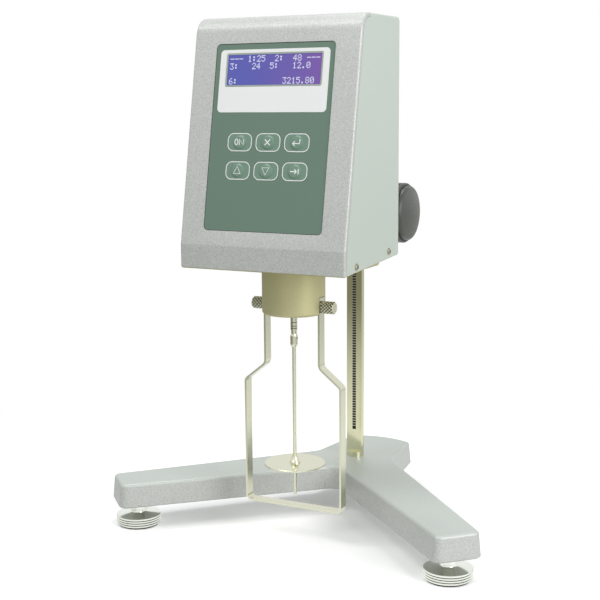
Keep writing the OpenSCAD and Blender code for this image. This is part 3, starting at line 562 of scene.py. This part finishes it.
class ViscometerFinishNodes(Operator):
    """Gives every CAD node its finish; faceted castings get a smooth-shaded skin"""

    bl_idname = "viscometer.finish_nodes"
    bl_label = "Finish the CAD nodes"

    def execute(self, context):
        make_finishes(context.scene.viscometer_finish)
        slots = {part["node"]: part["material_slot"] for part in frame["record"]["subparts"]}
        for node, thing in frame["nodes"].items():
            for slot in thing.material_slots:
                slot.material = FINISHES[slots[node]]
        for node in SMOOTHED:
            bm = bmesh.new()
            bm.from_mesh(frame["nodes"][node].data)
            bmesh.ops.remove_doubles(bm, verts=bm.verts, dist=1e-6)
            bmesh.ops.dissolve_limit(
                bm, angle_limit=radians(0.4), use_dissolve_boundaries=False,
                verts=bm.verts, edges=bm.edges, delimit={"NORMAL"},
            )
            skin = piece(node + "_skin", bm, slots[node], body_of(node), (node,), sharp=35.0)
            # large flat faces stay flat and only the rolled edges shade smoothly
            weighted = skin.modifiers.new("weighted", "WEIGHTED_NORMAL")
            weighted.weight = 100
            weighted.keep_sharp = True
        return {"FINISHED"}


# ------------------------------------------------------------------ keypad and display


class LegendSizes(PropertyGroup):
    """Sizes of what is printed on the keys and shown on the display."""

    line: FloatProperty(
        name="Outline", description="Width of a key's printed outline", default=0.62 * MM,
        unit="LENGTH", subtype="DISTANCE", min=0.0001, max=0.002,
    )
    # painted shadow: width of a dark line laid in the gap round the film, where shade falls
    seam: FloatProperty(
        name="Seam", description="Width of the dark adhesive line round the film", default=0.6 * MM,
        unit="LENGTH", subtype="DISTANCE", min=0.0001, max=0.001,
    )
    symbol: FloatProperty(
        name="Symbol line", description="Width of a symbol's line", default=0.74 * MM,
        unit="LENGTH", subtype="DISTANCE", min=0.0001, max=0.002,
    )
    size: FloatProperty(
        name="Symbol height", description="Height of a key's symbol", default=4.6 * MM,
        unit="LENGTH", subtype="DISTANCE", min=0.001, max=0.01,
    )
    dome: FloatProperty(
        name="Button height", description="How far a round button stands above its key",
        default=0.5 * MM, unit="LENGTH", subtype="DISTANCE", min=0, max=0.002,
    )
    rows: StringProperty(
        name="Display rows", description="What the display shows, one row after each bar",
        default="--- 1:25  2:  48 ---|3:   24  5:   12.0||6:          3215.80",
    )
    columns: IntProperty(
        name="Columns", description="Characters in a display row", default=20, min=8, max=40,
    )


def ring_points(steps):
    """So many points, evenly round a circle of radius 1."""
    return [(cos(tau * i / steps), sin(tau * i / steps)) for i in range(steps)]


def symbol_on(bm, u, w):
    """The letters of ON; u is the symbol's height and w its line width, here and below."""
    w *= 0.92
    stroke(bm, [(-0.48 * u + 0.27 * u * x, 0.45 * u * y) for x, y in ring_points(20)], w, True)
    left, right, tall = 0.05 * u, 0.78 * u, 0.45 * u
    stroke(bm, [(left, -tall), (left, tall), (right, -tall), (right, tall)], w)


def symbol_back(bm, u, w):
    """A cross."""
    stroke(bm, [(-0.45 * u, -0.45 * u), (0.45 * u, 0.45 * u)], w)
    stroke(bm, [(-0.45 * u, 0.45 * u), (0.45 * u, -0.45 * u)], w)


def symbol_enter(bm, u, w):
    """An arrow that comes down and turns left."""
    stroke(bm, [(0.6 * u, 0.5 * u), (0.6 * u, -0.15 * u), (-0.65 * u, -0.15 * u)], w)
    stroke(bm, [(-0.25 * u, 0.2 * u), (-0.65 * u, -0.15 * u), (-0.25 * u, -0.5 * u)], w)


def symbol_up(bm, u, w):
    """A triangle that points up."""
    stroke(bm, [(-0.62 * u, -0.5 * u), (0.62 * u, -0.5 * u), (0, 0.64 * u)], w * 0.85, True)


def symbol_down(bm, u, w):
    """A triangle that points down."""
    stroke(bm, [(-0.62 * u, 0.5 * u), (0, -0.64 * u), (0.62 * u, 0.5 * u)], w * 0.85, True)


def symbol_tab(bm, u, w):
    """An arrow against a bar."""
    stroke(bm, [(-0.7 * u, 0), (0.4 * u, 0)], w)
    stroke(bm, [(0.05 * u, 0.35 * u), (0.4 * u, 0), (0.05 * u, -0.35 * u)], w)
    stroke(bm, [(0.7 * u, 0.42 * u), (0.7 * u, -0.42 * u)], w)


SYMBOLS = {
    "key_on": symbol_on, "key_back": symbol_back, "key_enter": symbol_enter,
    "key_up": symbol_up, "key_down": symbol_down, "key_tab": symbol_tab,
}


KEY_CROWN = 0.40 * MM      # how far a key's crown stands above its rim
KEY_CORNER = 4.5 * MM
FILM_CORNER = 3 * MM
PRINT_LIFT = 0.01 * MM     # keeps a symbol clear of the button that it is printed on


def button_profile(dome):
    """Half section of a key's round button, from under its rim to its flat top."""
    foot, shoulder, top = 5.3 * MM, 4.2 * MM, 3.9 * MM
    wall = [(0, -KEY_CROWN), (foot, -KEY_CROWN), (foot - 0.05 * MM, -0.2 * MM)]
    return wall + [(shoulder, dome * 0.9), (top, dome), (0, dome)]


class ViscometerLegends(Operator):
    """Gives each key its outline, round button and symbol, and the film a dark line of painted shadow
    round its edge
    """

    bl_idname = "viscometer.legends"
    bl_label = "Key legends"

    def execute(self, context):
        p = context.scene.viscometer_legends
        for node, symbol in SYMBOLS.items():
            place, (w, h) = face_frame(node)
            border = bmesh.new()
            stroke(border, rounded_box_line(w - p.line, h - p.line, KEY_CORNER), p.line, True)
            border.transform(Matrix.Translation((0, 0, -KEY_CROWN)))
            mark = bmesh.new()
            symbol(mark, p.size, p.symbol)
            mark.transform(Matrix.Translation((0, 0, p.dome + PRINT_LIFT)))
            button = bmesh.new()
            turned(button, button_profile(p.dome), 64, (0, 0, 0))
            for bm, name, slot in (
                (border, "_outline", "label_white"),
                (mark, "_symbol", "label_white"),
                (button, "_button", "key_green"),
            ):
                bm.transform(place)
                piece(node + name, bm, slot, body_of(node))
        place, (w, h) = face_frame("keypad_film")
        beside, below = 0.1 * MM, 0.02 * MM
        # painted shadow: a dark line laid in the gap round the film, where shade falls
        seam = bmesh.new()
        stroke(seam, rounded_box_line(w + beside, h + beside, FILM_CORNER), p.seam, True)
        seam.transform(place @ Matrix.Translation((0, 0, -below)))
        piece("film_gap_shadow", seam, "foot_rubber", body_of("keypad_film"))
        return {"FINISHED"}


# seven rows of five dots, from the top
GLYPHS = {
    "0": "01110 10001 10011 10101 11001 10001 01110",
    "1": "00100 01100 00100 00100 00100 00100 01110",
    "2": "01110 10001 00001 00010 00100 01000 11111",
    "3": "11111 00010 00100 00010 00001 10001 01110",
    "4": "00010 00110 01010 10010 11111 00010 00010",
    "5": "11111 10000 11110 00001 00001 10001 01110",
    "6": "00110 01000 10000 11110 10001 10001 01110",
    "8": "01110 10001 10001 01110 10001 10001 01110",
    "-": "00000 00000 00000 11111 00000 00000 00000",
    ".": "00000 00000 00000 00000 00000 01100 01100",
    ":": "00000 01100 01100 00000 01100 01100 00000",
}
ROWS_WIDE = 0.94           # how much of the bezel's width the rows take
ROWS_HIGH = 0.90           # and of its height
DOTS_ACROSS = 5.9          # a character's width in dots, with the gap beside it
DOTS_DOWN = 8.2            # its height in dots, with the gap below it
DOT_FILL = 0.96            # how much of its pitch a dot fills
DOT_THICK = 0.03 * MM
GLASS_DEPTH = 0.58 * MM    # how far the dots lie below the bezel's face


def lit_dots(name):
    """Pale backlit dots that drift a little in hue."""
    f = Finish(name, (0.30, 0.30, 0.38), 0.4)
    hue = f.mix(f.noise(60, 1.0), (0.62, 0.66, 0.88), (0.78, 0.74, 0.90))
    f.feed(**{"Emission Color": hue, "Emission Strength": 0.6})
    return f.material


class ViscometerDisplay(Operator):
    """Lights the characters of the dot-matrix display"""

    bl_idname = "viscometer.display"
    bl_label = "Display characters"

    def execute(self, context):
        p = context.scene.viscometer_legends
        place, (w, h) = face_frame("display_bezel")
        rows = p.rows.split("|")
        width, height = w * ROWS_WIDE, h * ROWS_HIGH
        cell_w, cell_h = width / p.columns, height / len(rows)
        dot_x, dot_y = cell_w / DOTS_ACROSS, cell_h / DOTS_DOWN
        dot_size = Matrix.Diagonal((dot_x * DOT_FILL, dot_y * DOT_FILL, DOT_THICK, 1))
        bm = bmesh.new()
        for r, row in enumerate(rows):
            for c, character in enumerate(row):
                for j, line in enumerate(GLYPHS.get(character, "").split()):
                    for i, lit in enumerate(line):
                        if lit == "1":
                            x = -width / 2 + c * cell_w + (i + 0.9) * dot_x
                            y = height / 2 - r * cell_h - (j + 1.0) * dot_y
                            spot = Matrix.Translation((x, y, -GLASS_DEPTH))
                            bmesh.ops.create_cube(bm, size=1, matrix=spot @ dot_size)
        bm.transform(place)
        dots = piece("display_characters", bm, "lcd_blue", body_of("display_module"))
        dots.data.materials[0] = lit_dots("lcd_dots")
        return {"FINISHED"}


# ------------------------------------------------------------------ knurled pieces


class KnurlSizes(PropertyGroup):
    """Sizes of the knurled rims and of the dark ring of painted shade round the knob's cap."""

    foot_ridges: IntProperty(
        name="Foot ridges", description="Ridges round a levelling foot", default=84, min=40, max=240,
    )
    foot_depth: FloatProperty(
        name="Foot knurl depth", description="Depth of the ridges on a foot", default=0.38 * MM,
        unit="LENGTH", subtype="DISTANCE", min=0, max=0.001,
    )
    # painted shade: radius of a dark ring in the gap round the knob's cap, where shade falls
    shadow_ring: FloatProperty(
        name="Knob seal", description="Radius of the seal round the knob's cap", default=0.75 * MM,
        unit="LENGTH", subtype="DISTANCE", min=0.0001, max=0.001,
    )
    screw_depth: FloatProperty(
        name="Screw knurl depth", description="Depth of the diamonds on a thumb screw", default=0.6 * MM,
        unit="LENGTH", subtype="DISTANCE", min=0, max=0.001,
    )


FOOT_RIM = 7.4 * MM        # height of a foot's rim
FOOT_GROOVE = 0.9 * MM     # depth of the three grooves turned in it
FOOT_HUB = 5.7 * MM        # radius of the hub under the casting
FOOT_STUD = 4 * MM         # radius of the stud that goes up into the casting
FOOT_CLEAR = 0.4 * MM      # gap between the hub and the casting


def foot_profile(r, neck, tall):
    """Half section of a levelling foot: grooved rim, dished top, hub up to neck, stud up to tall."""
    rim, groove, hub, stud = FOOT_RIM, FOOT_GROOVE, FOOT_HUB, FOOT_STUD
    profile = [(0.0, 0.0), (r - 0.8 * MM, 0.0), (r, 0.6 * MM)]
    for z in (rim / 4, rim / 2, rim * 3 / 4):
        profile += [(r, z - 0.32 * MM), (r - groove, z - 0.15 * MM)]
        profile += [(r - groove, z + 0.15 * MM), (r, z + 0.32 * MM)]
    profile += [(r, rim - 0.5 * MM), (r - 0.2 * MM, rim - 0.15 * MM), (r - 0.6 * MM, rim)]
    profile += [(r - 1.4 * MM, rim + 0.1 * MM), (hub + 1.2 * MM, rim + 1.1 * MM)]
    profile += [(hub + 0.3 * MM, rim + 1.5 * MM), (hub, rim + 2.1 * MM)]
    profile += [(hub, neck - 0.5 * MM), (hub - 0.5 * MM, neck), (stud, neck)]
    return profile + [(stud, tall - 0.5 * MM), (stud - 0.5 * MM, tall), (0.0, tall)]


class ViscometerFeet(Operator):
    """Cuts fine ridges round the rim of each levelling foot and puts painted shade in its grooves"""

    bl_idname = "viscometer.feet"
    bl_label = "Levelling feet"

    def execute(self, context):
        p = context.scene.viscometer_knurl
        for node in ("left_foot", "right_foot", "rear_foot"):
            low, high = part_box(node)
            centre = ((low.x + high.x) / 2, (low.y + high.y) / 2, low.z)
            r = (high.x - low.x) / 2
            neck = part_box("base_casting")[0].z - FOOT_CLEAR - low.z
            bm = bmesh.new()
            place = turned(bm, foot_profile(r, neck, high.z - low.z), 2 * p.foot_ridges, centre)
            for v in bm.verts:
                reach = v.co.xy.length
                ridge = round(atan2(v.co.y, v.co.x) / tau * 2 * p.foot_ridges)
                on_rim = reach > r - 0.05 * MM and 0.5 * MM < v.co.z < FOOT_RIM - 0.5 * MM
                if on_rim and ridge % 2:
                    v.co.xy *= (reach - p.foot_depth) / reach
            bm.transform(place)
            piece(node + "_knurled", bm, "nickel", body_of(node), (node,), sharp=40.0)
            # one closed dark ring inside the rim, seen only at the bottom of the grooves, where it
            # paints shade into them
            inner, outer = r - 1.3 * MM, r - 0.65 * MM
            base, top = FOOT_RIM / 4 - 0.3 * MM, FOOT_RIM * 3 / 4 + 0.3 * MM
            section = [(inner, base), (outer, base), (outer, top), (inner, top), (inner, base)]
            groove_shade_ring = bmesh.new()
            turned(groove_shade_ring, section, 96, (0, 0, 0))
            groove_shade_ring.transform(place)
            piece(node + "_grooves", groove_shade_ring, "foot_rubber", body_of(node))
        return {"FINISHED"}


SCREW_HEAD = 10.8 * MM     # length of a thumb screw's knurled head
SCREW_SHANK = 8 * MM       # length of its shank, most of it inside the collar
DIAMOND = 2.7 * MM         # pitch of the diamonds along the head
DIAMOND_STARTS = 11        # how many diamonds go round it
KNURL_ROWS = 40            # rows of points along the head
KNURL_STEPS = 144          # and round it


def screw_profile(r):
    """Half section of a thumb screw: shank, head with many rows for the knurl, recessed end."""
    head, shank = SCREW_HEAD, 2 * MM
    profile = [(0, -SCREW_SHANK), (shank, -SCREW_SHANK), (shank, 0), (r - 0.7 * MM, 0)]
    profile += [(r, 0.6 * MM + (head - 1.5 * MM) * i / KNURL_ROWS) for i in range(KNURL_ROWS + 1)]
    profile += [(r - 0.9 * MM, head - 0.1 * MM), (r - 1.5 * MM, head)]
    return profile + [(r - 1.6 * MM, head - 0.25 * MM), (0, head - 0.25 * MM)]


class ViscometerThumbScrews(Operator):
    """Rolls a diamond knurl on each thumb screw"""

    bl_idname = "viscometer.thumb_screws"
    bl_label = "Thumb screws"

    def execute(self, context):
        p = context.scene.viscometer_knurl
        for node, side in (("left_thumb_screw", -1), ("right_thumb_screw", 1)):
            low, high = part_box(node)
            r = (high.z - low.z) / 2
            outer = high.x if side > 0 else -low.x
            centre = (side * (outer - SCREW_HEAD), (low.y + high.y) / 2, (low.z + high.z) / 2)
            bm = bmesh.new()
            place = turned(bm, screw_profile(r), KNURL_STEPS, centre, (side, 0, 0))
            for v in bm.verts:
                if v.co.xy.length > r - 0.05 * MM:
                    round_head = atan2(v.co.y, v.co.x) * DIAMOND_STARTS
                    along = v.co.z * tau / DIAMOND
                    # two crossing sets of sharp grooves leave diamonds between them
                    groove = max(cos(round_head + along), cos(round_head - along))
                    v.co.xy *= 1 - p.screw_depth / r * (0.5 + 0.5 * groove) ** 3
            bm.transform(place)
            piece(node + "_knurled", bm, "champagne_knurl", body_of(node), (node,), sharp=50.0)
        return {"FINISHED"}


class ViscometerKnobShadowRing(Operator):
    """Lays a dark ring of painted shade in the gap between the knob and its cap"""

    bl_idname = "viscometer.knob_seal"
    bl_label = "Knob seal"

    def execute(self, context):
        p = context.scene.viscometer_knurl
        low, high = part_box("knob_body")
        centre = (high.x, (low.y + high.y) / 2, (low.z + high.z) / 2)
        inset = 1.7 * MM
        r = (high.z - low.z) / 2 - inset
        circle = ring_points(12)
        section = [(r + p.shadow_ring * x, p.shadow_ring * y) for x, y in circle + circle[:1]]
        bm = bmesh.new()
        bm.transform(turned(bm, section, 96, centre, (1, 0, 0)))
        # painted shade: the dark ring sits where the gap round the cap lies in shade
        piece("knob_shadow_ring", bm, "foot_rubber", body_of("knob_cap"))
        return {"FINISHED"}


# ------------------------------------------------------------------ stage


class StageSizes(PropertyGroup):
    """The camera and the floor."""

    camera: FloatVectorProperty(
        name="Camera", description="Where the camera stands", subtype="TRANSLATION", unit="LENGTH",
        default=(0.409407, -0.86061, 0.338433),
    )
    heading: FloatProperty(
        name="Heading", description="Turn to the left of straight back", subtype="ANGLE",
        default=radians(26.87),
    )
    dip: FloatProperty(
        name="Dip", description="Tilt below the horizon", subtype="ANGLE", default=radians(9.364),
    )
    roll: FloatProperty(
        name="Roll", description="Turn about the line of sight", subtype="ANGLE",
        default=radians(-0.384),
    )
    lens: FloatProperty(
        name="Lens", description="Focal length on a 36 mm frame", unit="CAMERA", default=72.017,
    )
    floor: FloatVectorProperty(
        name="Floor", description="Colour of the floor", subtype="COLOR",
        default=(0.44, 0.47, 0.43), min=0, max=1,
    )


def add_camera(p):
    """The camera, turned by its heading, then its dip, then its roll."""
    ahead = Vector((-sin(p.heading) * cos(p.dip), cos(p.heading) * cos(p.dip), -sin(p.dip)))
    level = Vector((cos(p.heading), sin(p.heading), 0))
    above = level.cross(ahead)
    right = level * cos(p.roll) + above * sin(p.roll)
    up = above * cos(p.roll) - level * sin(p.roll)
    data = bpy.data.cameras.new("camera")
    data.sensor_width = 36
    data.lens = p.lens
    data.clip_start = 0.01
    camera = bpy.data.objects.new("camera", data)
    bpy.context.scene.collection.objects.link(camera)
    turn = Matrix((right, up, -ahead)).transposed().to_4x4()
    camera.matrix_world = Matrix.Translation(p.camera) @ turn
    bpy.context.scene.camera = camera


# name, place, target, size of its panel, watts
LAMPS = (
    ("key_lamp", (-0.55, -1.1, 1.85), (0, 0, 0.2), (1.1, 0.9), 13),
    ("side_lamp", (1.5, -0.55, 0.75), (0, 0, 0.25), (0.9, 0.9), 13.5),
    ("top_lamp", (-0.15, 0.35, 1.7), (0, 0, 0.1), (0.4, 0.4), 5.5),
)


def add_lamp(name, place, target, size, watts):
    """A soft white panel at a place, aimed at a target."""
    data = bpy.data.lights.new(name, "AREA")
    data.shape = "RECTANGLE"
    data.size, data.size_y = size
    data.energy = watts
    lamp = bpy.data.objects.new(name, data)
    bpy.context.scene.collection.objects.link(lamp)
    look = (Vector(target) - Vector(place)).to_track_quat("-Z", "Y").to_matrix().to_4x4()
    lamp.matrix_world = Matrix.Translation(place) @ look


def white_floor(p):
    """White to the camera, yet still darkened by the object's shadow."""
    f = Finish("floor", tuple(p.floor), 0.9)
    f.feed(Roughness=f.noise(40, 2.0) * 0.05 + 0.85)
    seen = f.node("LightPath", {}, {}, "Is Camera Ray")
    mirrored = f.node("LightPath", {}, {}, "Is Glossy Ray")
    reach = f.node("VectorMath", {"operation": "LENGTH"}, {0: f.place}, "Value")
    # polished metal mirrors a darker, olive floor far out and to the left
    far = reach.ramp(0.25, 0.9) * 0.5 + (f.axis("X") * -1.0).ramp(0.05, 0.35) * 0.5
    bounce = f.mix(mirrored * far, tuple(p.floor), (0.20, 0.19, 0.135))
    f.paint(f.mix(seen, bounce, (1.2, 1.2, 1.2)))
    # a little light of its own lifts the floor to white and still leaves the shadow
    glow = f.node("Emission", {}, {"Color": (1, 1, 1, 1), "Strength": 1.8})
    share = seen * 0.08 + mirrored * (0.5 - far * 0.48)
    near = f.node("MixShader", {}, {0: share, 1: Field(f.tree, f.shader.outputs[0]), 2: glow})
    # past the shadow's reach the camera sees plain white
    white = f.node("Emission", {}, {"Color": (1, 1, 1, 1), "Strength": 1.0})
    whole = f.node("MixShader", {}, {0: seen * reach.ramp(0.22, 0.5), 1: near, 2: white})
    f.tree.links.new(whole.socket, f.tree.nodes["Material Output"].inputs["Surface"])
    return f.material


def white_world():
    """White to the camera and in reflections; a softer sky lights the object."""
    world = bpy.data.worlds.new("studio")
    world.use_nodes = True
    tree = world.node_tree
    sky = tree.nodes["Background"]
    fill(tree, sky, {"Color": (0.80, 0.82, 0.84, 1), "Strength": 0.55})
    white = add_node(tree, "Background", {}, {"Color": (1, 1, 1, 1)})
    seen = add_node(tree, "LightPath", {}, {}, "Is Camera Ray")
    mirrored = add_node(tree, "LightPath", {}, {}, "Is Glossy Ray")
    either = seen.math("MAXIMUM", seen, mirrored)
    whole = add_node(tree, "MixShader", {}, {0: either, 1: Field(tree, sky.outputs[0]), 2: white})
    tree.links.new(whole.socket, tree.nodes["World Output"].inputs["Surface"])
    bpy.context.scene.world = world


class ViscometerStage(Operator):
    """Sets the camera, the soft studio light and the white floor"""

    bl_idname = "viscometer.stage"
    bl_label = "Stage"

    def execute(self, context):
        p = context.scene.viscometer_stage
        add_camera(p)
        for lamp in LAMPS:
            add_lamp(*lamp)
        bm = bmesh.new()
        bmesh.ops.create_grid(bm, x_segments=2, y_segments=2, size=6)
        mesh = bpy.data.meshes.new("floor")
        bm.to_mesh(mesh)
        bm.free()
        mesh.materials.append(white_floor(p))
        floor = bpy.data.objects.new("floor", mesh)
        context.scene.collection.objects.link(floor)
        white_world()
        context.scene.view_settings.view_transform = "Standard"
        return {"FINISHED"}


# ------------------------------------------------------------------ panel and main


OPERATORS = (
    ViscometerStage, ViscometerFinishNodes, ViscometerLegends, ViscometerDisplay,
    ViscometerFeet, ViscometerThumbScrews, ViscometerKnobShadowRing,
)
GROUPS = {
    "viscometer_finish": FinishSizes, "viscometer_legends": LegendSizes,
    "viscometer_knurl": KnurlSizes, "viscometer_stage": StageSizes,
}


class ViscometerPanel(Panel):
    """Lists the operators and their sizes in the sidebar"""

    bl_idname = "VIEW3D_PT_viscometer"
    bl_label = "Viscometer"
    bl_space_type = "VIEW_3D"
    bl_region_type = "UI"
    bl_category = "Viscometer"

    def draw(self, context):
        for operator in OPERATORS:
            self.layout.operator(operator.bl_idname)
        for name, group in GROUPS.items():
            box = self.layout.box()
            for key in group.__annotations__:
                box.prop(getattr(context.scene, name), key)


def register():
    for cls in (*GROUPS.values(), *OPERATORS, ViscometerPanel):
        bpy.utils.register_class(cls)
    for name, group in GROUPS.items():
        setattr(bpy.types.Scene, name, PointerProperty(type=group))


def unregister():
    for name in GROUPS:
        delattr(bpy.types.Scene, name)
    for cls in reversed((*GROUPS.values(), *OPERATORS, ViscometerPanel)):
        bpy.utils.unregister_class(cls)


def main():
    register()
    for operator in OPERATORS:
        group, name = operator.bl_idname.split(".")
        getattr(getattr(bpy.ops, group), name)()


if __name__ == "__main__":
    main()
